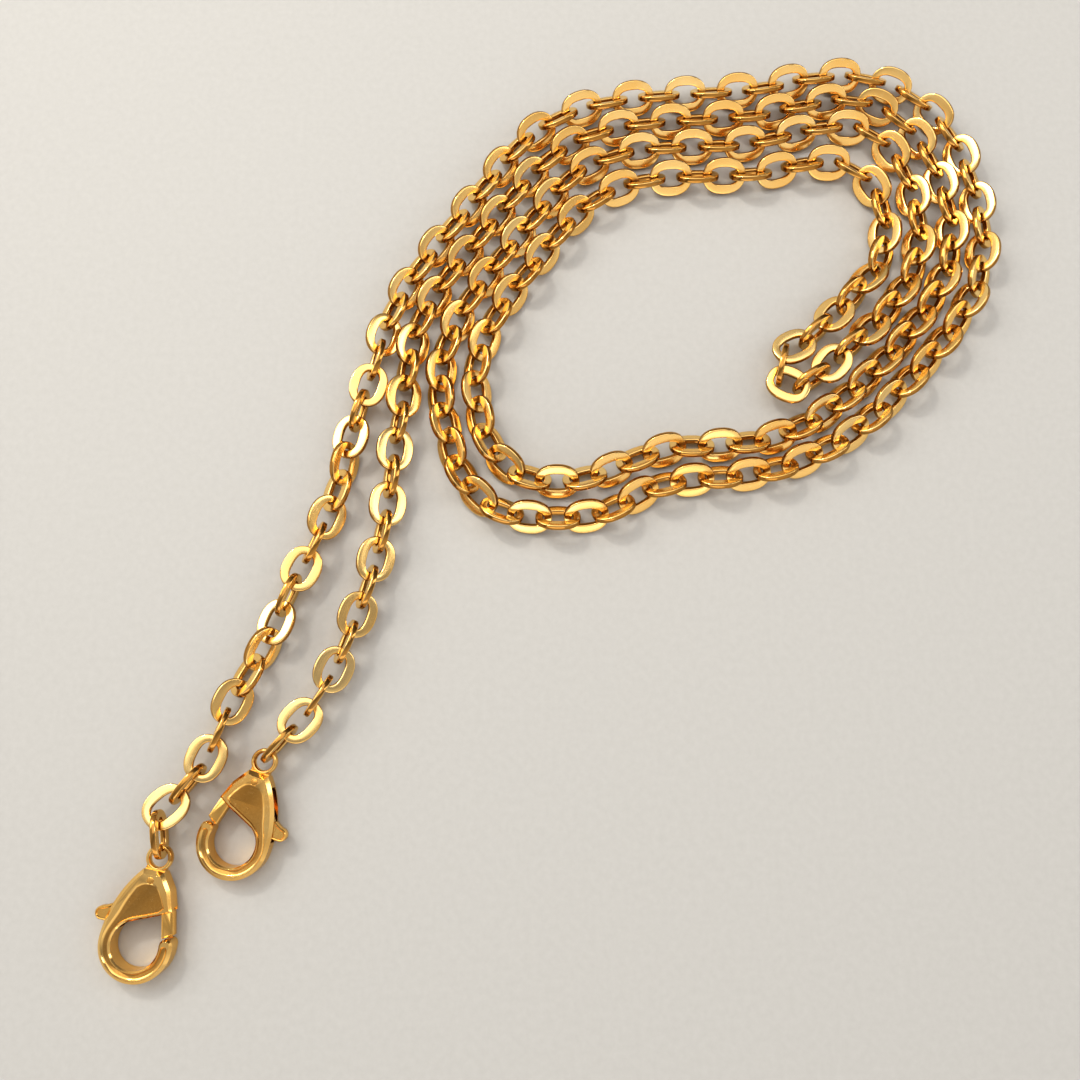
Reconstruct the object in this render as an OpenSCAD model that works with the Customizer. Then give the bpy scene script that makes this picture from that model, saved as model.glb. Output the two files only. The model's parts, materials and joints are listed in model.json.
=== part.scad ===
// Long cable chain of flat-faced oval links with a lobster claw clasp on each end. The chain
// lies on a table, folded in half and wound one and a half turns. Millimetres, +Z up, the table
// at z = 0, the origin under the middle of the coiled chain.

/* [Link] */
// Outer length of a link
link_length = 8.4; // [8.2:0.1:8.8]
// Outer width of a link
link_width = 7; // [6.6:0.1:7]
// Width of the band's flat face at the link's ends
band_width = 1.4; // [1.3:0.05:1.4]
// Width of the band's flat face along the link's sides
side_band = 1.8; // [1.6:0.05:1.85]
// Thickness of the band
band_thickness = 1.1; // [1:0.05:1.15]
// Chamfer along the band's edges
band_edge = 0.2; // [0.15:0.05:0.25]
// Play between two linked bands when the chain is laid out
link_play = 0.32; // [0.3:0.01:0.34]

/* [Clasp] */
// Thickness of the clasp's body and hook
clasp_thickness = 4; // [3.8:0.1:4]
// Radius of the space inside the hook
hook_inner_radius = 4.1; // [4:0.05:4.2]
// Outer radius of the hook
hook_outer_radius = 6.3; // [6.2:0.05:6.4]
// Distance from the middle of the eye to the middle of the hook
eye_to_hook = 14.4; // [14.3:0.1:14.6]
// Radius of the hole in the eye
eye_hole_radius = 1.5; // [1.45:0.05:1.55]
// Outer radius of the eye
eye_radius = 2.3; // [2.2:0.05:2.4]
// Radius of the rivet that the lever turns on
rivet_radius = 0.6; // [0.5:0.05:0.6]
// Running clearance of the lever on its rivet
rivet_clearance = 0.06; // [0.03:0.01:0.1]
// Radius of the spring's wire
spring_wire_radius = 0.2; // [0.15:0.01:0.2]

/* [Lay of the clasps] */
// Direction from clasp A's eye to its hook
clasp_a_heading = 258; // [254:1:262]
// Direction from clasp B's eye to its hook
clasp_b_heading = 251; // [247:1:255]
// How far a clasp leans down from its eye to the table
clasp_lean = 3.6; // [3.4:0.1:3.7]

/* [Hidden] */
$fn = 48;
gold = "#e3ac4a";
gold_lever = "#d79b3c";
steel = "#b9bcc0";

// ---- Chain: sizes that follow from the link ----
pitch = link_length - 2 * band_width - link_play;
wire_reach = (link_length - band_width) / 2;
// The row bends about the upright links' end wires, so an upright link spans more of it than
// a flat one does. This is how much more than the pitch.
span_swing = 2 * wire_reach - pitch;
hole_length = link_length - 2 * band_width;
hole_width = link_width - 2 * side_band;

// ---- Route of the chain's middle line: x, y, extra height, roll of the links ----
// It runs from clasp A's eye, round the coil to the fold, and back to clasp B's eye.
ROUTE = [
    // tail A, up from the clasp
    [-65, -56, -0.25, 90], [-66, -49.5, 0.45, 90], [-61, -45, 0, 90], [-57.5, -38, 0, 100],
    [-54, -29, 0, 125], [-49, -20, 0, 150], [-45, -10, 0, 180], [-40.5, 0, 0, 205],
    [-37, 10, 0, 230], [-35, 20, 0, 258], [-32, 30, 0, 282], [-30, 38.5, 0, 302],
    // outer strand: left, top, right
    [-27, 47, 0, 314], [-21.5, 56, 0, 314], [-15, 65, 0, 314], [-8.5, 74, 0, 314],
    [-2, 82, 0, 314], [8, 88, 0, 314], [20, 90.5, 0, 314], [32, 91.5, 0, 314],
    [44, 92.5, 0, 314], [55, 95, 0, 314], [66, 95, 0, 314], [76, 90, 0, 314],
    [82.5, 81, 0, 314], [85.5, 70, 0, 314], [86.5, 60, 0, 314], [84, 49, 0, 314],
    [77.5, 39, 0, 314], [69, 29.5, 0, 314], [60, 21, 0, 314],
    // back along the bottom and up the left side
    [50, 15, 0, 314], [40, 12, 0, 314], [30, 11, 0, 314], [21, 9.5, 0, 314],
    [12, 4.5, 0, 314], [2, 3.5, 0, 314], [-8, 5, 0, 314], [-14.5, 11.5, 0, 314],
    [-17.5, 21, 0, 314], [-19, 31, 0, 314], [-16.5, 41, 0, 314], [-11.5, 50, 0, 314],
    [-5, 59, 0, 314], [1.5, 67.5, 0, 314], [8, 74.5, 0, 314], [18, 78.5, 0, 314],
    [29, 79.5, 0, 314], [40, 80, 0, 314], [49, 82, 0, 314], [58, 84, 0, 314],
    [66.5, 82.5, 0, 314], [72, 74.5, 0, 314], [74, 65, 0, 314], [73.5, 56, 0, 314],
    [69.5, 48, 0, 314], [62.5, 40, 0, 300], [56.5, 35, 0, 283],
    // the fold
    [52.5, 30.5, 0, 285], [48, 28.5, 0, 275], [44.5, 31, 0, 265], [46, 35.5, 0, 255],
    // inner strand: right, top, left
    [52, 39, 0, 257], [59, 46.5, 0, 240], [66, 54.5, 0, 226], [67.5, 63, 0, 226],
    [66, 70.5, 0, 226], [61, 75.5, 0, 226], [53.5, 76, 0, 226], [43, 73.5, 0, 226],
    [31, 73, 0, 226], [20, 72, 0, 226], [11.5, 68.5, 0, 226], [5, 62.5, 0, 226],
    [-0.5, 55, 0, 226], [-7, 46, 0, 226], [-11.5, 36, 0, 226], [-12, 27, 0, 226],
    [-9.5, 17.5, 0, 226], [-3.5, 11.5, 0, 226], [6, 10.5, 0, 226], [15, 13.5, 0, 226],
    // back along the bottom, up the right side, over the top
    [24, 17, 0, 226], [34, 17.5, 0, 226], [44, 19, 0, 226], [53, 23.5, 0, 226],
    [62, 31, 0, 226], [70.5, 40, 0, 226], [77.5, 50, 0, 226], [80.5, 60, 0, 226],
    [79.5, 70, 0, 226], [76.5, 79, 0, 226], [71.5, 86, 0, 226], [63.5, 90, 0, 226],
    [54, 89, 0, 226], [43, 86.5, 0, 226], [31, 85.5, 0, 226], [19.5, 84.5, 0, 226],
    [8.5, 81.5, 0, 226], [0.5, 75.5, 0, 226], [-6.5, 67, 0, 226], [-13, 58, 0, 226],
    [-19.5, 49, 0, 226],
    // tail B, down to the clasp
    [-24, 39, 0, 228], [-25.5, 28, 0, 236], [-27, 17, 0, 244], [-28, 6, 0, 244],
    [-30, -5, 0, 245], [-33, -15, 0, 246], [-36.5, -24, 0, 250], [-39.5, -30, 0, 258],
    [-44, -35.5, 0.45, 266], [-48, -40, -0.25, 270],
];

// A point on the smooth curve through four neighbouring route points, between b and c.
function bend(a, b, c, d, t) =
    0.5 * (2 * b + (c - a) * t + (2 * a - 5 * b + 4 * c - d) * t * t
        + (3 * b - 3 * c + d - a) * t * t * t);

function route_point(i) = ROUTE[max(0, min(len(ROUTE) - 1, i))];

curve_steps = 6;
CURVE = [
    for (i = [0 : len(ROUTE) - 2], j = [0 : curve_steps - 1])
        bend(route_point(i - 1), route_point(i), route_point(i + 1), route_point(i + 2),
            j / curve_steps),
    ROUTE[len(ROUTE) - 1],
];

function flat_step(i) = norm([CURVE[i][0] - CURVE[i - 1][0], CURVE[i][1] - CURVE[i - 1][1]]);

// Length of the row up to each point of the curve.
RUN = [for (i = 0, s = 0; i < len(CURVE); i = i + 1, s = i < len(CURVE) ? s + flat_step(i) : s) s];
route_length = RUN[len(RUN) - 1];

TABLES = [for (axis = [0 : 3]) [for (i = [0 : len(CURVE) - 1]) [RUN[i], CURVE[i][axis]]]];
function along(s, axis) = lookup(s, TABLES[axis]);

// Half the height of a link that is rolled by an angle from lying flat.
function half_height(roll) = max(
    link_width / 2 * abs(sin(roll)) + (band_thickness / 2 - band_edge) * abs(cos(roll)),
    (link_width / 2 - band_edge) * abs(sin(roll)) + band_thickness / 2 * abs(cos(roll)));

// Height of the row's middle line where it rests on the table.
function rest_height(roll) = max(half_height(roll), half_height(roll + 90));

// Links sit at even stations along the row and roll a quarter turn from one to the next.
link_count = floor((route_length - 2 * wire_reach) / pitch) + 1;
function station(k) = wire_reach + k * pitch;
function roll_of(k) = along(station(k), 3) + 90 * k;

// How far a link reaches to each side of its station.
function reach(k) = (pitch - span_swing * cos(2 * roll_of(k))) / 2;

function row_point(s) = [along(s, 0), along(s, 1), along(s, 2) + rest_height(along(s, 3))];
function back_end(k) = row_point(station(k) - reach(k));
function front_end(k) = row_point(station(k) + reach(k));
function run(k) = front_end(k) - back_end(k);
function middle(k) = (back_end(k) + front_end(k)) / 2 + chain_shift;
function yaw(k) = atan2(run(k)[1], run(k)[0]);
function rise(k) = asin(run(k)[2] / norm(run(k)));

// Moves the whole chain so that the origin is under its middle, on the table.
chain_shift = [-7.07, -10.96, 0.08];

// ---- Which links each piece of the chain holds ----
tail_links = 12;
first_b = link_count - tail_links;

// First links of the runs between the two tails, named in RUN_NODES.
RUN_STARTS = [12, 20, 30, 44, 60, 75, 88, 100, 111, 116, 123, 135, 147, 161, 172, 186, 195];

RUN_NODES = [
    "a_tail_run", "a_outer_left", "a_outer_top", "a_outer_right",
    "a_bottom", "a_inner_left", "a_inner_top", "a_inner_right",
    "fold_links", "b_inner_right", "b_inner_top", "b_inner_left",
    "b_bottom", "b_outer_right", "b_outer_top", "b_outer_left", "b_tail_run",
];

// ---- Clasp: points in the hook's plane, measured from the middle of the hook ----
// x is across the clasp, positive on the gate's side; y is towards the eye.
half_clasp = clasp_thickness / 2;
hook_middle_radius = (hook_inner_radius + hook_outer_radius) / 2;
hook_band = hook_outer_radius - hook_inner_radius;
spine_radius = 19.4;
nose_angle = 10.5;
nose = hook_middle_radius * [cos(nose_angle), sin(nose_angle)];
pivot = [0, 10.8];
gate_gap = 0.11;
gate_reach = norm(nose - pivot) - hook_band / 2 - gate_gap;
shoulder = [1.7, 12.4];
gate_corner = [4.75, 6.55];
slot_half = 1.1;
lever_half = 1.05;
web_top = 0.05;
eye_half = 0.8;
eye_edge = 0.25;
// A linked band sits this far from the middle of the eye, towards the chain.
eye_seat = eye_hole_radius - band_width / 2 - link_play;
coil_radius = 0.95;
coil_heights = [0.37, 0.75];

// ---- Link ----
// A flat bar with half-round ends. The 2D child is half its section, from the middle out.
module round_ended(straight) {
    for (side = [-1, 1])
        translate([side * straight / 2, 0, 0])
            rotate([0, 0, -90 * side])
                rotate_extrude(angle = 180)
                    children();
    rotate([90, 0, 90])
        linear_extrude(straight, center = true) {
            children();
            mirror([1, 0])
                children();
        }
}

module outline_section() {
    edge_y = band_thickness / 2;
    side_x = link_width / 2;
    polygon([
        [0, -edge_y], [side_x - band_edge, -edge_y], [side_x, -edge_y + band_edge],
        [side_x, edge_y - band_edge], [side_x - band_edge, edge_y], [0, edge_y],
    ]);
}

// The hole's edge opens out through each face.
module hole_section() {
    edge_y = band_thickness / 2;
    side_x = hole_width / 2;
    polygon([
        [0, -edge_y - band_edge], [side_x + 2 * band_edge, -edge_y - band_edge],
        [side_x, -edge_y + band_edge], [side_x, edge_y - band_edge],
        [side_x + 2 * band_edge, edge_y + band_edge], [0, edge_y + band_edge],
    ]);
}

module link() {
    difference() {
        round_ended(link_length - link_width)
            outline_section();
        round_ended(hole_length - hole_width)
            hole_section();
    }
}

module placed_link(k) {
    translate(middle(k))
        rotate([0, -rise(k), yaw(k)])
            rotate([roll_of(k), 0, 0])
                link();
}

module links(first, last) {
    color(gold)
        for (k = [first : last])
            placed_link(k);
}

module run_of_links(n) {
    last = n + 1 < len(RUN_STARTS) ? RUN_STARTS[n + 1] - 1 : first_b - 1;
    links(RUN_STARTS[n], last);
}

// ---- Clasp ----
module chamfered(width, height, edge) {
    polygon([
        [-width / 2 + edge, -height / 2], [width / 2 - edge, -height / 2],
        [width / 2, -height / 2 + edge], [width / 2, height / 2 - edge],
        [width / 2 - edge, height / 2], [-width / 2 + edge, height / 2],
        [-width / 2, height / 2 - edge], [-width / 2, -height / 2 + edge],
    ]);
}

module hook_opening() {
    circle(hook_inner_radius);
    polygon([[0, 0], [-2.2, 3.45], [2.8, 5.5], gate_corner, [9, 6.55], [9, 9 * tan(nose_angle)]]);
}

module hook_outline() {
    difference() {
        union() {
            circle(hook_outer_radius);
            intersection() {
                translate([spine_radius - hook_outer_radius, 0])
                    circle(spine_radius, $fn = 160);
                polygon([[-8, 0], [-8, shoulder[1]], shoulder, [3.6, 9.7], gate_corner, [0, 0]]);
            }
        }
        hook_opening();
    }
    translate(nose)
        circle(hook_band / 2);
}

// The space inside the body that the lever swings in, open on the spine's side and to the hook.
module slot_outline() {
    translate(pivot)
        circle(1.5);
    polygon([
        [1.3, 11.5], [5.1, 6.3], [8, 3], [0, 0], [-3.6, 2.1], [-9, 1.9],
        [-9, 10.5], [-4, 10.6], [-1.3, 11],
    ]);
}

module eye() {
    translate([0, eye_to_hook, 0])
        rotate_extrude()
            translate([(eye_radius + eye_hole_radius) / 2, 0])
                chamfered(eye_radius - eye_hole_radius, 2 * eye_half, eye_edge);
}

module hook_body() {
    difference() {
        union() {
            linear_extrude(clasp_thickness, center = true)
                hook_outline();
            eye();
        }
        linear_extrude(2 * slot_half, center = true)
            slot_outline();
        translate([pivot[0], pivot[1], 0])
            cylinder(r = rivet_radius, h = 2 * clasp_thickness, center = true);
        translate([0, eye_to_hook, 0])
            cylinder(r = eye_hole_radius, h = 2 * clasp_thickness, center = true);
    }
}

module gate_outline() {
    intersection() {
        polygon([[2.3, 7], [3.9, 7.4], [4.84, 6.3], [6.4, 0.5], [4.2, 0.5], [2.82, 5.8]]);
        translate(pivot)
            circle(gate_reach, $fn = 160);
    }
}

module tab_outline() {
    translate([-7.15, 3.75])
        circle(1.15);
    polygon([[-7.5, 4.85], [-5.6, 5.7], [-4.9, 5], [-5.2, 3], [-5.9, 2.55], [-7, 2.61]]);
}

module web_outline() {
    translate(pivot)
        circle(1.3);
    polygon([
        [1.05, 11.4], [4.6, 6.5], [2.95, 5.95], [-2.2, 4.25], [-5.9, 2.75],
        [-6.2, 4.6], [-5.5, 5.6], [-1.1, 10.3],
    ]);
}

module lever() {
    difference() {
        union() {
            linear_extrude(2 * lever_half, center = true) {
                gate_outline();
                tab_outline();
            }
            translate([0, 0, -lever_half])
                linear_extrude(lever_half + web_top)
                    web_outline();
        }
        translate([pivot[0], pivot[1], 0])
            cylinder(r = rivet_radius + rivet_clearance, h = 2 * clasp_thickness, center = true);
    }
}

module rivet() {
    translate([pivot[0], pivot[1], 0])
        cylinder(r = rivet_radius, h = clasp_thickness, center = true);
}

module spring_leg(from, to, height) {
    reach = to - from;
    translate([from[0], from[1], height])
        rotate([0, 90, atan2(reach[1], reach[0])])
            cylinder(r = spring_wire_radius, h = norm(reach), $fn = 24);
}

module spring() {
    for (height = coil_heights)
        translate([pivot[0], pivot[1], height])
            rotate_extrude()
                translate([coil_radius, 0])
                    circle(spring_wire_radius, $fn = 24);
    spring_leg(pivot + [coil_radius, 0], [1.95, 6.8], coil_heights[1]);
    spring_leg(pivot - [0.2, coil_radius], [-2.2, 10.2], coil_heights[0]);
}

// Puts a clasp's piece, drawn from the middle of its hook, on the end of the chain.
module on_clasp(joint, heading, turned) {
    translate(joint)
        rotate([clasp_lean, 0, heading + 90])
            rotate([0, turned ? 180 : 0, 0])
                translate([0, -eye_seat - eye_to_hook, 0])
                    children();
}

module on_clasp_a() {
    on_clasp(back_end(0) + chain_shift, clasp_a_heading, false) children();
}

module on_clasp_b() {
    on_clasp(front_end(link_count - 1) + chain_shift, clasp_b_heading, true) children();
}

module clasp_a_hook() { color(gold) on_clasp_a() hook_body(); }
module clasp_a_lever() { color(gold_lever) on_clasp_a() lever(); }
module clasp_a_rivet() { color(gold) on_clasp_a() rivet(); }
module clasp_a_spring() { color(steel) on_clasp_a() spring(); }
module clasp_b_hook() { color(gold) on_clasp_b() hook_body(); }
module clasp_b_lever() { color(gold_lever) on_clasp_b() lever(); }
module clasp_b_rivet() { color(gold) on_clasp_b() rivet(); }
module clasp_b_spring() { color(steel) on_clasp_b() spring(); }

clasp_a_hook();
clasp_a_lever();
clasp_a_rivet();
clasp_a_spring();
for (n = [1 : tail_links]) {
    number = str(n < 10 ? "0" : "", n);
    links(n - 1, n - 1);
    links(link_count - n, link_count - n);
}
for (n = [0 : len(RUN_NODES) - 1])
    run_of_links(n);
clasp_b_hook();
clasp_b_lever();
clasp_b_rivet();
clasp_b_spring();
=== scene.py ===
import json
import math
import random
import bmesh
import bpy
import numpy as np
from mathutils import Matrix, Vector


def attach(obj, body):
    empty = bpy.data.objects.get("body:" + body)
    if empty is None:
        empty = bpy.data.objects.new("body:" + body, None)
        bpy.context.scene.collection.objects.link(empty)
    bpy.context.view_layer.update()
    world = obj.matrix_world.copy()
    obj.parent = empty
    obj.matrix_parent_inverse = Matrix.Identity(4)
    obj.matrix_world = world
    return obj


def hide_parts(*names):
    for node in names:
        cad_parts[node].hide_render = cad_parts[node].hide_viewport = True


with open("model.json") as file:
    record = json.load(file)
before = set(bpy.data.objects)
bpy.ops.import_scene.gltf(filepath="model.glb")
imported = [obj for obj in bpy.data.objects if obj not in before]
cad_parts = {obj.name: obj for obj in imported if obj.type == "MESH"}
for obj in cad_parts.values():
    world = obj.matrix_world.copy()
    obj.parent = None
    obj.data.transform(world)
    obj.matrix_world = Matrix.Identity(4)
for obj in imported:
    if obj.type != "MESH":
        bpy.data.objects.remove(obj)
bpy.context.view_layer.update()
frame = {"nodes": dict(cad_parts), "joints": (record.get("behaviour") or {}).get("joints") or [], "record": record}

MM = 0.001
scene = bpy.context.scene
nodes = frame["nodes"]
body_of_node = {n: b for b, ns in frame["record"]["behaviour"]["bodies"].items() for n in ns}

# ---------------------------------------------------------------- camera
VIEW_TILT = math.radians(12.5)
VIEW_DISTANCE = 0.201
AIM = Vector((-0.00707, -0.01096, 0.00007))

camera_data = bpy.data.cameras.new("camera")
camera_data.lens = 36.1
camera_data.sensor_width = 36.0
camera_data.clip_start = 0.005
camera_data.clip_end = 10.0
camera = bpy.data.objects.new("camera", camera_data)
scene.collection.objects.link(camera)
camera.location = AIM + Vector((0, -math.sin(VIEW_TILT), math.cos(VIEW_TILT))) * VIEW_DISTANCE
camera.rotation_euler = (VIEW_TILT, 0, 0)
scene.camera = camera


# ---------------------------------------------------------------- materials
class Nodes:
    """Builds a node tree from left to right. An input is named, or i0, i1 ... by its place."""

    def __init__(self, tree):
        self.tree = tree

    def add(self, kind, settings=None, **inputs):
        n = self.tree.nodes.new(kind)
        for k, v in (settings or {}).items():
            setattr(n, k, v)
        for k, v in inputs.items():
            self.feed(n, k.replace("_", " "), v)
        return n

    def feed(self, n, name, value):
        by_number = name[0] == "i" and name[1:].isdigit()
        socket = n.inputs[int(name[1:])] if by_number else n.inputs[name]
        if hasattr(value, "is_output") and value.is_output:
            self.tree.links.new(value, socket)
        else:
            socket.default_value = value

    def math(self, op, a, b):
        return self.add("ShaderNodeMath", {"operation": op}, i0=a, i1=b).outputs[0]

    def mix(self, factor, a, b):
        n = self.add("ShaderNodeMix", {"data_type": "RGBA"})
        self.feed(n, "i0", factor)
        self.feed(n, "i6", a)
        self.feed(n, "i7", b)
        return n.outputs[2]

    def attribute(self, name):
        return self.add("ShaderNodeAttribute", {"attribute_name": name}).outputs["Fac"]

    def noise(self, vector, scale, detail=3.0, roughness=0.5):
        n = self.add("ShaderNodeTexNoise", Scale=scale, Detail=detail, Roughness=roughness)
        self.tree.links.new(vector, n.inputs["Vector"])
        return n.outputs["Fac"]

    def spread(self, value, low, high, to_low=0.0, to_high=1.0):
        n = self.add("ShaderNodeMapRange")
        for name, v in (("Value", value), ("From Min", low), ("From Max", high),
                        ("To Min", to_low), ("To Max", to_high)):
            self.feed(n, name, v)
        return n.outputs[0]


def new_material(name):
    material = bpy.data.materials.new(name)
    material.use_nodes = True
    material.node_tree.nodes.clear()
    return material, Nodes(material.node_tree)


def finish_material(t, shader):
    out = t.add("ShaderNodeOutputMaterial")
    t.tree.links.new(shader.outputs[0], out.inputs["Surface"])


EDGE_TINT = (1.0, 0.92, 0.72, 1)      # the gold seen at a glancing angle
WALL_PAINTED_SHADE = (0.36, 0.165, 0.03, 1)    # painted shade on the side walls of the links' band, standing in for the dark room they would reflect
HOLLOW_PAINTED_SHADE = (0.43, 0.205, 0.04, 1)  # painted shade on the sunken parts of the clasps
GRAIN_SCALE = (55.0, 1500.0, 1.0)     # along and round the band, per metre


def gold(name, colour, warm, pale, rough, brushed=False, cast=False):
    """Polished yellow gold plate with broad changes of tone and fine scuffs. brushed is for the
    links: a tone for each link, side walls darkened with painted shade and a lengthwise grain.
    cast is for the hooks: sunken parts darkened with painted shade and more satin."""
    material, t = new_material(name)
    place = t.add("ShaderNodeTexCoord").outputs["Object"]
    broad = t.noise(place, 90.0, 2.0)
    fine = t.noise(place, 1400.0, 4.0, 0.6)
    speck = t.noise(place, 5200.0, 2.0)
    base = t.mix(t.spread(broad, 0.35, 0.65), colour, warm)
    scuff = t.spread(fine, 0.55, 0.75, 0.0, 0.25)
    base = t.mix(scuff, base, pale)
    roughness = t.spread(broad, 0.3, 0.7, rough, rough + 0.07)
    roughness = t.math("ADD", roughness, t.math("MULTIPLY", scuff, 0.25))
    height = t.math("MULTIPLY", speck, 0.25)
    if brushed:
        base = t.mix(t.spread(t.attribute("tone"), 0.0, 1.0, 0.0, 0.55), base, warm)
        wall = t.attribute("wall")
        # painted shade: the band's side walls are darkened toward a deep brown gold
        base = t.mix(t.math("MULTIPLY", wall, 0.9), base, WALL_PAINTED_SHADE)
        roughness = t.math("SUBTRACT", roughness, t.math("MULTIPLY", wall, 0.06))
        grain_at = t.add("ShaderNodeMapping", Scale=GRAIN_SCALE)
        t.tree.links.new(t.add("ShaderNodeUVMap", {"uv_map": "band"}).outputs[0],
                         grain_at.inputs["Vector"])
        grain = t.noise(grain_at.outputs[0], 1.0, 3.0, 0.6)
        roughness = t.math("ADD", roughness, t.spread(grain, 0.35, 0.65, -0.03, 0.06))
        height = t.math("ADD", height, t.math("MULTIPLY", grain, 0.9))
    if cast:
        satin = t.noise(place, 2600.0, 3.0, 0.6)
        hollow = t.math("MULTIPLY", t.attribute("hollow"), t.spread(satin, 0.2, 0.8, 0.75, 1.0))
        # painted shade: the sunken channel and panel are darkened as shade in a recess would be, varied by the
        # satin noise
        base = t.mix(t.math("MULTIPLY", hollow, 0.85), base, HOLLOW_PAINTED_SHADE)
        roughness = t.math("ADD", roughness, t.math("MULTIPLY", hollow, 0.12))
    bump = t.add("ShaderNodeBump", Strength=0.12, Distance=0.00002, Height=height)
    shader = t.add("ShaderNodeBsdfPrincipled", Metallic=1.0, Roughness=roughness,
                   Base_Color=base, Specular_Tint=EDGE_TINT, Normal=bump.outputs[0])
    finish_material(t, shader)
    return material


def steel():
    material, t = new_material("spring_steel")
    place = t.add("ShaderNodeTexCoord").outputs["Object"]
    draw = t.noise(place, 2600.0, 3.0, 0.6)
    base = t.mix(t.spread(draw, 0.3, 0.7), (0.42, 0.42, 0.44, 1), (0.62, 0.61, 0.6, 1))
    bump = t.add("ShaderNodeBump", Strength=0.15, Distance=0.00002, Height=draw)
    shader = t.add("ShaderNodeBsdfPrincipled", Metallic=1.0, Base_Color=base,
                   Roughness=t.spread(draw, 0.2, 0.8, 0.22, 0.38), Normal=bump.outputs[0])
    finish_material(t, shader)
    return material


chain_gold = gold("chain_gold", (0.98, 0.71, 0.32, 1), (0.94, 0.595, 0.205, 1),
                  (1.0, 0.83, 0.5, 1), 0.14, brushed=True)
clasp_gold = gold("clasp_gold", (0.975, 0.655, 0.25, 1), (0.92, 0.53, 0.155, 1),
                  (1.0, 0.80, 0.45, 1), 0.08, cast=True)
lever_gold = gold("lever_gold", (0.95, 0.59, 0.19, 1), (0.88, 0.49, 0.125, 1),
                  (1.0, 0.77, 0.41, 1), 0.13)
rivet_gold = gold("rivet_gold", (0.85, 0.48, 0.13, 1), (0.75, 0.38, 0.09, 1),
                  (0.95, 0.68, 0.32, 1), 0.2)
spring_steel = steel()


# ---------------------------------------------------------------- mesh helpers
WELD = 2e-7     # metres; CAD vertices closer than this are one


def loose_parts(obj):
    """The separate solids of a CAD node, each as (points, triangles), in the row frame."""
    me = obj.data
    me.calc_loop_triangles()
    co = np.zeros(len(me.vertices) * 3)
    me.vertices.foreach_get("co", co)
    co = co.reshape(-1, 3)
    tri = np.zeros(len(me.loop_triangles) * 3, np.int64)
    me.loop_triangles.foreach_get("vertices", tri)
    _, same = np.unique(np.round(co / WELD).astype(np.int64), axis=0, return_inverse=True)
    tri = same.reshape(-1)[tri].reshape(-1, 3)
    first = np.zeros(tri.max() + 1, np.int64)
    first[same.reshape(-1)] = np.arange(len(co))
    points = co[first]
    label = np.arange(len(points))
    while True:
        low = label[tri].min(axis=1)
        new = label.copy()
        for c in range(3):
            np.minimum.at(new, tri[:, c], low)
        new = new[new]
        if (new == label).all():
            break
        label = new
    for part in np.unique(label[tri[:, 0]]):
        yield points, tri[label[tri[:, 0]] == part]


def link_frame(points, tri):
    """Centre and axes of a link: x along it, y across it, z through its flat faces."""
    a, b, c = (points[tri[:, i]] for i in range(3))
    area = np.linalg.norm(np.cross(b - a, c - a), axis=1) / 2
    mid = (a + b + c) / 3
    centre = (mid * area[:, None]).sum(0) / area.sum()
    spread = np.zeros((3, 3))
    for p, w in ((a, 1), (b, 1), (c, 1), (mid, 9)):
        d = p - centre
        spread += (d * (area * w)[:, None]).T @ d
    _, axes = np.linalg.eigh(spread)
    x, z = axes[:, 2], axes[:, 0]
    # the same sense for every link; the reference directions are not square to any axis
    x = x * (1 if x @ np.array((0.31, 0.9, 0.05)) > 0 else -1)
    z = z * (1 if z @ np.array((0.21, 0.11, 0.97)) > 0 else -1)
    return centre, np.column_stack((x, np.cross(z, x), z))


# ---------------------------------------------------------------- one link, in millimetres
OUTER_OVAL = (4.2, 3.5)    # half length and half width of the outline
HOLE_OVAL = (2.8, 1.7)
OUTER_POWER = 2.24         # 2 would be an ellipse; the links are a little fuller
HOLE_POWER = 2.65          # fuller again, so that linked bands stay clear of one another
HALF_THICK = 0.55
CORNER = 0.24
CROWN = 0.03               # the flat faces are very slightly domed by polishing
AROUND = 64


def rounded(value, exponent):
    """A sine or cosine raised to a power, with its sign kept."""
    return math.copysign(abs(value) ** exponent, value)


def oval_point(half_size, power, angle):
    return Vector((half_size[0] * rounded(math.cos(angle), 2 / power),
                   half_size[1] * rounded(math.sin(angle), 2 / power), 0))


def band_profile(width):
    """Section of the band: nearly flat faces, rounded edges, a barely crowned side. From the
    outside in, as (distance in from the outer edge, height)."""
    t, r = HALF_THICK, CORNER
    turn = [math.radians(a) for a in (10, 36, 60, 84)]
    outer = [(r - r * math.cos(a), t - r + r * math.sin(a) - CROWN) for a in turn]
    land = [(r + 0.06, t - CROWN * 0.9), (width * 0.33, t - CROWN * 0.2), (width * 0.5, t),
            (width * 0.67, t - CROWN * 0.2), (width - r - 0.06, t - CROWN * 0.9)]
    inner = [(width - r + r * math.cos(a), t - r + r * math.sin(a) - CROWN)
             for a in reversed(turn)]
    top = outer + land + inner
    under = [(d, -h) for d, h in reversed(top)]
    return top + [(width, 0.0)] + under + [(0.0, 0.0)]


def wall_share(height):
    """1 on the band's side walls, 0 on its flat faces."""
    return max(0.0, min(1.0, 1 - (abs(height) - HALF_THICK + CORNER) / (0.8 * CORNER)))


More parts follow.
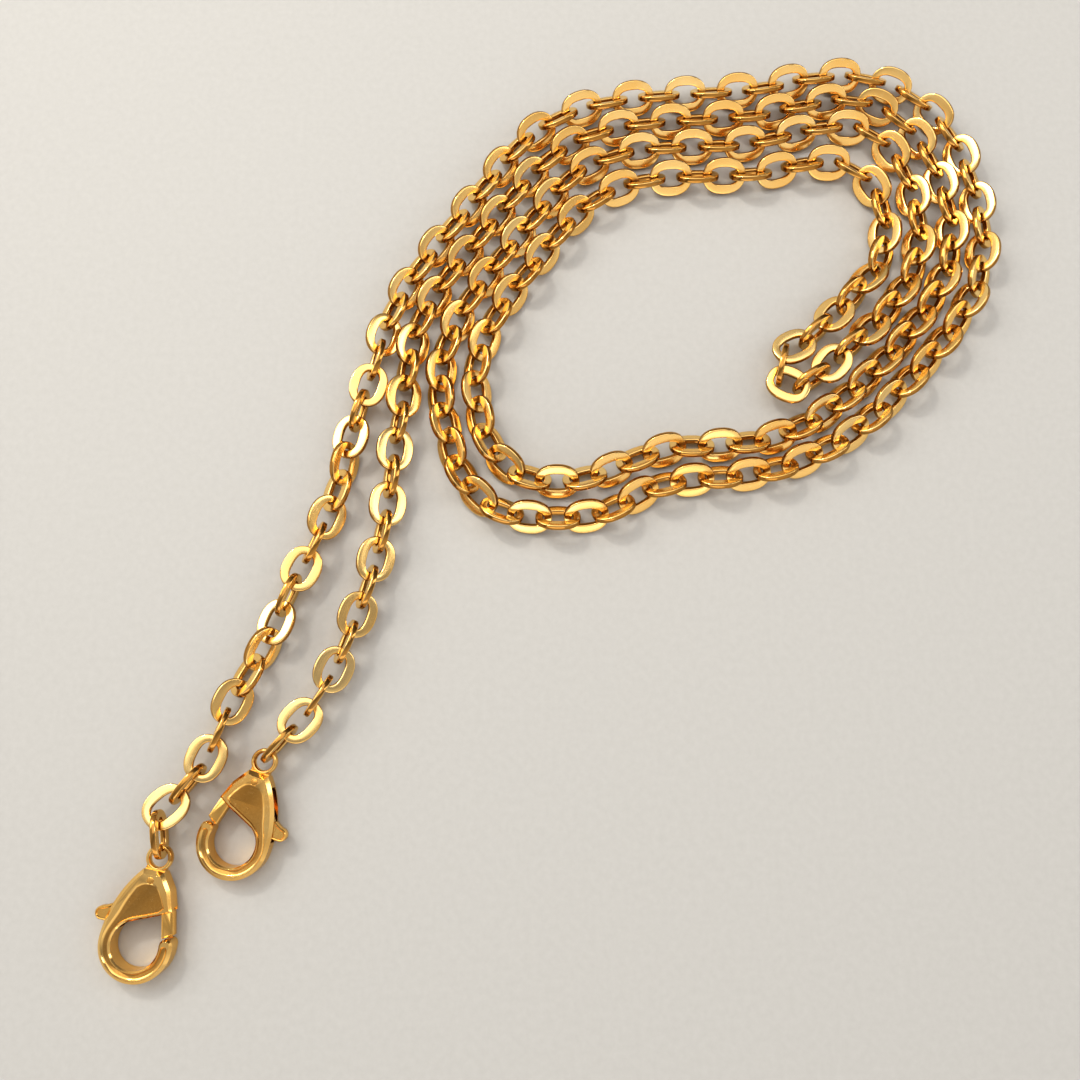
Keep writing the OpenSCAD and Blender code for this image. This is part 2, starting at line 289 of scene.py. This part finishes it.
def link_template():
    """Vertices, faces, the band coordinate (along, round) of each corner, and each vertex's
    share of side wall."""
    stations = []
    for i in range(AROUND):
        a = 2 * math.pi * i / AROUND
        # even steps along the outline rather than in the angle
        a += 0.06 * math.sin(4 * a)
        stations.append((oval_point(OUTER_OVAL, OUTER_POWER, a),
                         oval_point(HOLE_OVAL, HOLE_POWER, a)))
    verts, along, length = [], [], 0.0
    for i, (out, hole) in enumerate(stations):
        if i:
            length += (out - stations[i - 1][0]).length
        along.append(length)
        inward = (hole - out).normalized()
        verts.append([out + inward * d + Vector((0, 0, h))
                      for d, h in band_profile((hole - out).length)])
    total = length + (stations[0][0] - stations[-1][0]).length
    prof = band_profile(OUTER_OVAL[0] - HOLE_OVAL[0])
    round_len = [0.0]
    for i in range(len(prof)):
        q, r = prof[i], prof[(i + 1) % len(prof)]
        round_len.append(round_len[-1] + math.hypot(r[0] - q[0], r[1] - q[1]))
    n_path, n_prof = len(stations), len(prof)
    points = np.array([tuple(v) for section in verts for v in section])
    walls = np.array([wall_share(v.z) for section in verts for v in section])
    faces, uvs = [], []
    for i in range(n_path):
        j = (i + 1) % n_path
        u0, u1 = along[i], along[i + 1] if j else total
        for k in range(n_prof):
            m = (k + 1) % n_prof
            faces.append((i * n_prof + k, i * n_prof + m, j * n_prof + m, j * n_prof + k))
            v0, v1 = round_len[k], round_len[k + 1]
            uvs.extend(((u0, v0), (u0, v1), (u1, v1), (u1, v0)))
    return points, np.array(faces), np.array(uvs), walls


LINK_POINTS, LINK_FACES, LINK_UVS, LINK_WALLS = link_template()


def signed_volume(points, faces):
    """Six times the volume of a closed mesh of quads, negative if its faces look inward."""
    a, b, c, d = (points[faces[:, i]] for i in range(4))
    return (a * np.cross(b, c) + a * np.cross(c, d)).sum()


if signed_volume(LINK_POINTS, LINK_FACES) < 0:
    LINK_FACES = LINK_FACES[:, ::-1]
    LINK_UVS = LINK_UVS.reshape(-1, 4, 2)[:, ::-1].reshape(-1, 2)

tone_dice = random.Random(41)
UV_STEP = 0.037     # metres from one link to the next in the grain


def build_links(node):
    """A detailed copy of every link in a CAD node, as one piece."""
    points, faces, uvs, tones = [], [], [], []
    for p, tri in loose_parts(nodes[node]):
        centre, axes = link_frame(p, tri)
        faces.append(LINK_FACES + len(points) * len(LINK_POINTS))
        points.append(LINK_POINTS * MM @ axes.T + centre)
        uvs.append(LINK_UVS * MM + (UV_STEP * len(points), 0.0))
        tones.append(np.full(len(LINK_POINTS), tone_dice.random()))
    me = bpy.data.meshes.new(node + ".band")
    me.from_pydata(np.concatenate(points).tolist(), [], np.concatenate(faces).tolist())
    layer = me.uv_layers.new(name="band")
    layer.data.foreach_set("uv", np.concatenate(uvs).astype(np.float32).ravel())
    tone = me.attributes.new("tone", "FLOAT", "POINT")
    tone.data.foreach_set("value", np.concatenate(tones).astype(np.float32))
    wall = me.attributes.new("wall", "FLOAT", "POINT")
    wall.data.foreach_set("value", np.tile(LINK_WALLS, len(tones)).astype(np.float32))
    me.polygons.foreach_set("use_smooth", [True] * len(me.polygons))
    me.update()
    piece = bpy.data.objects.new(node + ".detail", me)
    scene.collection.objects.link(piece)
    me.materials.append(chain_gold)
    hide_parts(node)
    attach(piece, body_of_node[node])


for name in sorted(n for n in nodes if not n.startswith("clasp_")):
    build_links(name)

# ---------------------------------------------------------------- clasps, in millimetres
# Every clasp piece is drawn from the middle of its hook: x across, y towards the eye, z through
# its flat face. The numbers repeat the CAD clasp's.
HOOK_IN, HOOK_OUT = 4.1, 6.3      # radii of the hook
NOSE = math.radians(10.5)         # where the hook ends
NOSE_MID, NOSE_R = 5.2, 1.1
SPINE_X, SPINE_R = 13.1, 19.4     # the back's long arc
TOP_Y, PIVOT, EYE_Y = 12.4, (0.0, 10.8), 14.4
HALF = 2.0                        # half the body's thickness
LEVER_HALF = 1.05
RIVET_R = 0.6
RIM = 0.66                        # from the outline to the sunken channel


def polar(radius, angle, centre=(0.0, 0.0)):
    return centre[0] + radius * math.cos(angle), centre[1] + radius * math.sin(angle)


def arc(radius, start, stop, count, centre=(0.0, 0.0)):
    """Points from start up to, but without, stop, in degrees."""
    return [polar(radius, math.radians(start + (stop - start) * i / count), centre)
            for i in range(count)]


def line(p, q, count):
    return [(p[0] + (q[0] - p[0]) * i / count, p[1] + (q[1] - p[1]) * i / count)
            for i in range(count)]


def curve_through(points, count):
    """count points along a smooth curve through the given ones, without the last."""
    n = len(points) - 1
    out = []
    for i in range(count):
        u = i / count * n
        k, t = min(int(u), n - 1), u - min(int(u), n - 1)
        a, b, c, d = (points[max(0, min(n, k + j))] for j in (-1, 0, 1, 2))
        out.append(tuple(
            0.5 * (2 * b[m] + (c[m] - a[m]) * t + (2 * a[m] - 5 * b[m] + 4 * c[m] - d[m]) * t * t
                   + (3 * b[m] - 3 * c[m] + d[m] - a[m]) * t ** 3) for m in (0, 1)))
    return out


def inset(loop, depth):
    """A closed loop moved to its inner side by depth, one number or one for each point."""
    n = len(loop)
    area = sum(loop[i][0] * loop[(i + 1) % n][1] - loop[(i + 1) % n][0] * loop[i][1]
               for i in range(n))
    turn = 1 if area > 0 else -1
    out = []
    for i in range(n):
        p, q, r = (Vector(loop[(i + k) % n]) for k in (-1, 0, 1))
        e, f = (q - p).normalized(), (r - q).normalized()
        m, o = Vector((-e.y, e.x)) * turn, Vector((-f.y, f.x)) * turn
        way = (m + o) / max(0.35, 1 + m.dot(o))
        move = depth[i] if isinstance(depth, list) else depth
        out.append(tuple(q + way * move))
    return out


def stack(name, loops, hollow=0):
    """A closed solid from loops of equal length, each (points, heights), from the bottom up.
    The first and last hollow loops are marked as the sunken ones."""
    bm = bmesh.new()
    mark = bm.verts.layers.float.new("hollow")
    rings = []
    for k, (pts, z) in enumerate(loops):
        heights = z if isinstance(z, list) else [z] * len(pts)
        rings.append([bm.verts.new((x * MM, y * MM, h * MM)) for (x, y), h in zip(pts, heights)])
        for v in rings[-1]:
            v[mark] = 1.0 if k < hollow or k >= len(loops) - hollow else 0.0
    n = len(rings[0])
    for low, high in zip(rings, rings[1:]):
        for i in range(n):
            j = (i + 1) % n
            bm.faces.new((low[i], low[j], high[j], high[i]))
    bm.faces.new(rings[0][::-1])
    bm.faces.new(rings[-1])
    bmesh.ops.recalc_face_normals(bm, faces=bm.faces)
    me = bpy.data.meshes.new(name)
    bm.to_mesh(me)
    bm.free()
    return me


def both_ways(loops):
    """The same loops above and below the middle plane, from the bottom up."""
    below = [(pts, [-h for h in z] if isinstance(z, list) else -z) for pts, z in reversed(loops)]
    return below + loops


def ease_list(values, reach):
    """A closed list of numbers, each averaged with its neighbours."""
    n = len(values)
    return [sum(values[(i + k) % n] for k in range(-reach, reach + 1)) / (2 * reach + 1)
            for i in range(n)]


def rod(name, x, y, radius, low, high, count=64, cap=0.0):
    """An upright cylinder, with rounded ends if cap is given."""
    steps = [(radius, 0.0)]
    if cap:
        steps = [(radius - cap + cap * math.cos(a), -cap + cap * math.sin(a))
                 for a in (math.radians(d) for d in (0, 30, 60, 84))]
    ring = [(arc(r, 0, 360, count, (x, y)), dz) for r, dz in steps]
    return stack(name, [(pts, low - dz) for pts, dz in reversed(ring)]
                 + [(pts, high + dz) for pts, dz in ring])


def combine(mesh, *changes):
    """Joins ("UNION") or cuts ("DIFFERENCE") closed meshes, one after the other."""
    obj = bpy.data.objects.new("work", mesh)
    scene.collection.objects.link(obj)
    tools = []
    for way, other in changes:
        tool = bpy.data.objects.new("tool", other)
        scene.collection.objects.link(tool)
        tools.append(tool)
        mod = obj.modifiers.new("bool", "BOOLEAN")
        mod.operation, mod.solver, mod.object = way, "EXACT", tool
    bpy.context.view_layer.update()
    done = bpy.data.meshes.new_from_object(obj.evaluated_get(bpy.context.evaluated_depsgraph_get()))
    for o in [obj] + tools:
        bpy.data.objects.remove(o)
    return done


# The hook body's outline runs in these pieces, with this many points on each.
HOOK_RUNS = (56, 30, 10, 16, 20, 60, 14)


def by_run(*values):
    return [v for v, n in zip(values, HOOK_RUNS) for _ in range(n)]


def hook_loops():
    """The hook body's outline, then the loops of its bevel, its rim and its sunken channel."""
    spine_x = lambda y: SPINE_X - math.sqrt(SPINE_R ** 2 - y ** 2)
    tip = math.degrees(NOSE)
    start_in = math.degrees(math.atan2(3.45, -2.2))
    outline = (
        arc(HOOK_OUT, tip, -180, 56)
        + [(spine_x(TOP_Y * i / 30), TOP_Y * i / 30) for i in range(30)]
        + line((spine_x(TOP_Y), TOP_Y), (1.7, TOP_Y), 10)
        + line((1.7, TOP_Y), (3.6, 9.7), 8) + line((3.6, 9.7), (4.75, 6.55), 8)
        + line((4.75, 6.55), (2.8, 5.5), 6) + line((2.8, 5.5), (-2.2, 3.45), 14)
        + arc(HOOK_IN, start_in, 360 + tip, 60)
        + arc(NOSE_R, 180 + tip, tip, 14, polar(NOSE_MID, NOSE)))
    wall = ease_list(by_run(1.4, 1.4, 1.3, 1.5, 1.75, 1.75, 1.6), 2)
    edge = inset(outline, ease_list(by_run(0.52, 0.6, 0.75, 0.5, 0.26, 0.26, 0.3), 2))

    # The sunken part: a channel along the hook that widens into a drop-shaped panel. It ends
    # a little before the nose.
    end = tip - 7
    def rim_spine(t):
        y = 9.4 * t
        ease = min(1.0, t * 1.7)
        ease = ease * ease * (3 - 2 * ease)
        return spine_x(y) + RIM + 0.95 * ease, y

    rim = arc(HOOK_OUT - RIM, end, -180, 56)
    rim += [rim_spine(i / 30) for i in range(30)]
    rim += curve_through([rim_spine(1), (-1.2, 10.15), (0.1, 10.4), (1.2, 10.15), (1.95, 9.4)], 10)
    rim += line((1.95, 9.4), (2.75, 8.2), 8) + line((2.75, 8.2), (3.45, 6.85), 8)
    rim += line((3.45, 6.85), (2.6, 6.0), 6) + line((2.6, 6.0), (-2.25, 4.0), 14)
    rim += arc(HOOK_IN + 0.4, start_in, 360 + end, 60)
    middle = (HOOK_IN + 0.4 + HOOK_OUT - RIM) / 2
    rim += arc(HOOK_OUT - RIM - middle, 180 + end, end, 14, polar(middle, math.radians(end)))
    slope = inset(rim, ease_list(by_run(0.2, 0.24, 0.2, 0.16, 0.06, 0.06, 0.1), 2))
    sunk = inset(rim, ease_list(by_run(0.42, 0.46, 0.36, 0.3, 0.14, 0.14, 0.2), 2))
    return outline, wall, edge, rim, slope, sunk


def hook_mesh():
    outline, wall, edge, rim, slope, sunk = hook_loops()
    deep = [HALF - 0.15 - 0.13 * max(0.0, min(1.0, (10.4 - y) / 6.4)) for x, y in sunk]
    body = stack("hook", both_ways([(outline, wall), (edge, HALF), (rim, HALF),
                                    (slope, [(HALF + z * 2) / 3 for z in deep]), (sunk, deep)]), 1)
    slot = [(1.3, 11.5), (5.1, 6.3), (8, 3), (0, 0), (-3.6, 2.1), (-9, 1.9), (-9, 10.5),
            (-4, 10.6), (-1.3, 11)]
    slot_tool = stack("slot", [(slot, -1.1), (slot, 1.1)])
    seat_tool = rod("seat", PIVOT[0], PIVOT[1], 1.5, -1.1, 1.1)
    eye = ring("eye", 1.5, 2.3, 0.8)
    foot = [(-1.82, 12.25), (-1.68, 12.9), (-1.1, 12.65), (1.1, 12.65), (1.68, 12.9), (1.72, 12.25)]
    neck = stack("neck", both_ways([(foot, 0.62), (inset(foot, 0.1), 0.74)]))
    bore = rod("bore", PIVOT[0], PIVOT[1], RIVET_R, -3, 3, 48)
    return combine(body, ("UNION", eye), ("UNION", neck), ("DIFFERENCE", slot_tool),
                   ("DIFFERENCE", seat_tool), ("DIFFERENCE", bore))


def ring(name, inner, outer, half):
    """The eye: a ring of rounded section, standing on the clasp's top."""
    mid, wide = (inner + outer) / 2, (outer - inner) / 2
    turns, sides = 56, 20
    section = [(mid + wide * rounded(math.cos(a), 0.7), half * rounded(math.sin(a), 0.8))
               for a in (2 * math.pi * i / sides for i in range(sides))]
    bm = bmesh.new()
    rings = []
    for k in range(turns):
        a = 2 * math.pi * k / turns
        rings.append([bm.verts.new((r * math.cos(a) * MM, (EYE_Y + r * math.sin(a)) * MM, z * MM))
                      for r, z in section])
    for k in range(turns):
        for i in range(sides):
            j, m = (i + 1) % sides, (k + 1) % turns
            bm.faces.new((rings[k][i], rings[k][j], rings[m][j], rings[m][i]))
    bmesh.ops.recalc_face_normals(bm, faces=bm.faces)
    me = bpy.data.meshes.new(name)
    bm.to_mesh(me)
    bm.free()
    return me


def gate_loop():
    """The gate arm seen from the front: straight sides, and an end that swings past the nose."""
    reach = math.dist(polar(NOSE_MID, NOSE), PIVOT) - NOSE_R - 0.11
    inner, outer = ((4.2, 0.5), (2.82, 5.8)), ((4.84, 6.3), (6.4, 0.5))

    def meet(p, q):
        """Where the way from p to q crosses the circle that the gate's end swings on."""
        low, high = 0.0, 1.0
        for _ in range(40):
            t = (low + high) / 2
            x, y = p[0] + (q[0] - p[0]) * t, p[1] + (q[1] - p[1]) * t
            if (math.dist((x, y), PIVOT) > reach) == (math.dist(p, PIVOT) > reach):
                low = t
            else:
                high = t
        return p[0] + (q[0] - p[0]) * low, p[1] + (q[1] - p[1]) * low

    a, b = meet(*inner), meet(*outer)
    start = math.degrees(math.atan2(a[1] - PIVOT[1], a[0] - PIVOT[0]))
    stop = math.degrees(math.atan2(b[1] - PIVOT[1], b[0] - PIVOT[0]))
    return (arc(reach, start, stop, 3, PIVOT) + line(b, (4.84, 6.3), 6)
            + [(4.84, 6.3), (3.9, 7.4), (2.3, 7.0)] + line((2.82, 5.8), a, 6))


def lever_mesh():
    gate = gate_loop()
    bar = stack("gate", both_ways([
        (gate, 0.72), (inset(gate, 0.1), 0.95), (inset(gate, 0.3), LEVER_HALF)]))
    tab = (arc(1.15, 105, 275, 20, (-7.15, 3.75))
           + curve_through([(-7.05, 2.6), (-6.4, 2.6), (-5.9, 2.62), (-5.2, 3.0)], 8)
           + line((-5.2, 3.0), (-4.9, 5.0), 5)
           + curve_through([(-4.9, 5.0), (-5.6, 5.62), (-6.3, 5.3), (-6.9, 5.0), (-7.45, 4.86)],
                           10))
    paddle = stack("tab", both_ways([
        (tab, 0.78), (inset(tab, 0.1), 0.96), (inset(tab, 0.22), LEVER_HALF),
        (inset(tab, 0.34), 1.03), (inset(tab, 0.46), 0.9)]))
    web_loop = [(1.05, 11.4), (4.6, 6.5), (2.95, 5.95), (-2.2, 4.25), (-5.9, 2.75), (-6.2, 4.6),
                (-5.5, 5.6), (-1.1, 10.3)]
    # just inside the bar's face, so that no two faces coincide
    web_low, web_high = 0.001 - LEVER_HALF, 0.05
    web = stack("web", [(web_loop, web_low), (web_loop, web_high)])
    boss = rod("boss", PIVOT[0], PIVOT[1], 1.3, web_low, web_high)
    bore = rod("bore", PIVOT[0], PIVOT[1], 0.66, -3, 3)
    return combine(bar, ("UNION", web), ("UNION", paddle), ("UNION", boss), ("DIFFERENCE", bore))


def rivet_mesh():
    return rod("rivet", PIVOT[0], PIVOT[1], RIVET_R, -HALF, HALF, 48, cap=0.06)


def clasp_matrix(side):
    """From the clasp's own millimetres to the row frame."""
    mount = next(m for m in frame["record"]["mounts"] if m["name"] == f"hook_{side}")
    pivot = next(j for j in frame["joints"] if j["name"] == f"clasp_{side}_lever_hinge")["pos_m"]
    middle, z = Vector(mount["pos_m"]), Vector(mount["axis"]).normalized()
    y = Vector(pivot) - middle
    y = (y - z * y.dot(z)).normalized()
    x = y.cross(z)
    return Matrix.Translation(middle) @ Matrix((x, y, z)).transposed().to_4x4()


def place_piece(mesh, node, material, soften=0.05):
    """Puts a clasp mesh in place of its CAD node, with edges softened by that many mm."""
    bm = bmesh.new()
    bm.from_mesh(mesh)
    bmesh.ops.remove_doubles(bm, verts=bm.verts, dist=0.002 * MM)
    bmesh.ops.dissolve_degenerate(bm, dist=0.002 * MM, edges=bm.edges)
    bmesh.ops.dissolve_limit(bm, angle_limit=math.radians(0.4), verts=bm.verts, edges=bm.edges)
    bm.transform(clasp_matrix(node.split("_")[1]))
    bmesh.ops.recalc_face_normals(bm, faces=bm.faces)
    for f in bm.faces:
        f.smooth = True
    me = bpy.data.meshes.new(node)
    bm.to_mesh(me)
    bm.free()
    me.materials.append(material)
    piece = bpy.data.objects.new(node + ".detail", me)
    scene.collection.objects.link(piece)
    if soften:
        mod = piece.modifiers.new("edges", "BEVEL")
        mod.width, mod.segments = soften * MM, 2
        mod.limit_method, mod.angle_limit = "ANGLE", math.radians(30)
        mod.harden_normals = True
        mod.use_clamp_overlap = True
    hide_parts(node)
    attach(piece, body_of_node[node])


for side in "ab":
    place_piece(hook_mesh(), f"clasp_{side}_hook", clasp_gold)
    place_piece(lever_mesh(), f"clasp_{side}_lever", lever_gold)
    place_piece(rivet_mesh(), f"clasp_{side}_rivet", rivet_gold, soften=0)
    spring_data = nodes[f"clasp_{side}_spring"].data
    spring_data.materials.clear()
    spring_data.materials.append(spring_steel)


# ---------------------------------------------------------------- floor and light
def floor_material():
    material, t = new_material("floor")
    place = t.add("ShaderNodeTexCoord").outputs["Object"]
    grain = t.noise(place, 800.0, 4.0, 0.6)
    base = t.mix(t.spread(grain, 0.3, 0.7), (0.49, 0.485, 0.475, 1), (0.52, 0.515, 0.505, 1))
    bump = t.add("ShaderNodeBump", Strength=0.1, Distance=0.0001, Height=grain)
    shader = t.add("ShaderNodeBsdfPrincipled", Base_Color=base, Roughness=0.75,
                   Normal=bump.outputs[0])
    finish_material(t, shader)
    return material


REACH = 8     # metres, far past the view on every side
corners = [(-REACH, -REACH, 0), (REACH, -REACH, 0), (REACH, REACH, 0), (-REACH, REACH, 0)]
floor_mesh = bpy.data.meshes.new("floor")
floor_mesh.from_pydata(corners, [], [(0, 1, 2, 3)])
floor_mesh.materials.append(floor_material())
floor = bpy.data.objects.new("floor", floor_mesh)
scene.collection.objects.link(floor)


LAMP_AIM = Vector((0.005, 0.01, 0))


def softbox(name, place, size, power, colour):
    """An area lamp aimed at the middle of the chain."""
    data = bpy.data.lights.new(name, "AREA")
    data.shape = "RECTANGLE"
    data.size, data.size_y = size
    data.energy = power
    data.color = colour
    lamp = bpy.data.objects.new(name, data)
    scene.collection.objects.link(lamp)
    lamp.location = place
    lamp.rotation_euler = (LAMP_AIM - Vector(place)).to_track_quat("-Z", "Y").to_euler()


softbox("overhead", (-0.02, 0.2, 0.62), (0.62, 0.56), 1.45, (1.0, 0.985, 0.96))
softbox("key", (-0.5, 0.3, 0.5), (0.42, 0.34), 1.75, (1.0, 0.96, 0.88))
softbox("right", (0.46, 0.1, 0.34), (0.12, 0.44), 0.5, (1.0, 0.98, 0.94))
softbox("front", (-0.1, -0.56, 0.17), (0.62, 0.2), 0.5, (1.0, 0.96, 0.9))
softbox("lamp", (-0.26, 0.34, 0.5), (0.07, 0.07), 0.85, (1.0, 0.95, 0.86))

# The room: dim near the floor and behind, grey above, bright to the upper left, and bright low
# down in front, on the left and on the right, where the leaning links look.
world = bpy.data.worlds.new("studio")
scene.world = world
world.use_nodes = True
world.node_tree.nodes.clear()
w = Nodes(world.node_tree)
direction = w.add("ShaderNodeTexCoord").outputs["Generated"]


def toward(way, low, high):
    """0 to 1 as the direction turns toward the given one."""
    dot = w.add("ShaderNodeVectorMath", {"operation": "DOT_PRODUCT"})
    world.node_tree.links.new(direction, dot.inputs[0])
    dot.inputs[1].default_value = Vector(way).normalized()
    return w.spread(dot.outputs["Value"], low, high)


sky = w.mix(toward((0, 0, 1), 0.0, 0.85), (0.11, 0.085, 0.06, 1), (0.44, 0.44, 0.46, 1))
sky = w.mix(toward((-0.7, 0.5, 0.6), 0.5, 0.95), sky, (1.15, 1.1, 1.0, 1))
sky = w.mix(toward((0.3, -1, 0.22), 0.42, 0.85), sky, (1.2, 1.12, 1.0, 1))
sky = w.mix(toward((-1, -0.1, 0.15), 0.82, 0.97), sky, (1.15, 1.08, 0.97, 1))
sky = w.mix(toward((1, 0.1, 0.1), 0.86, 0.97), sky, (1.1, 1.05, 0.96, 1))
background = w.add("ShaderNodeBackground", Color=sky, Strength=0.75)
world_out = w.add("ShaderNodeOutputWorld")
world.node_tree.links.new(background.outputs[0], world_out.inputs["Surface"])
scene.view_settings.view_transform = "Standard"
scene.view_settings.look = "Medium High Contrast"
scene.view_settings.exposure = -0.1
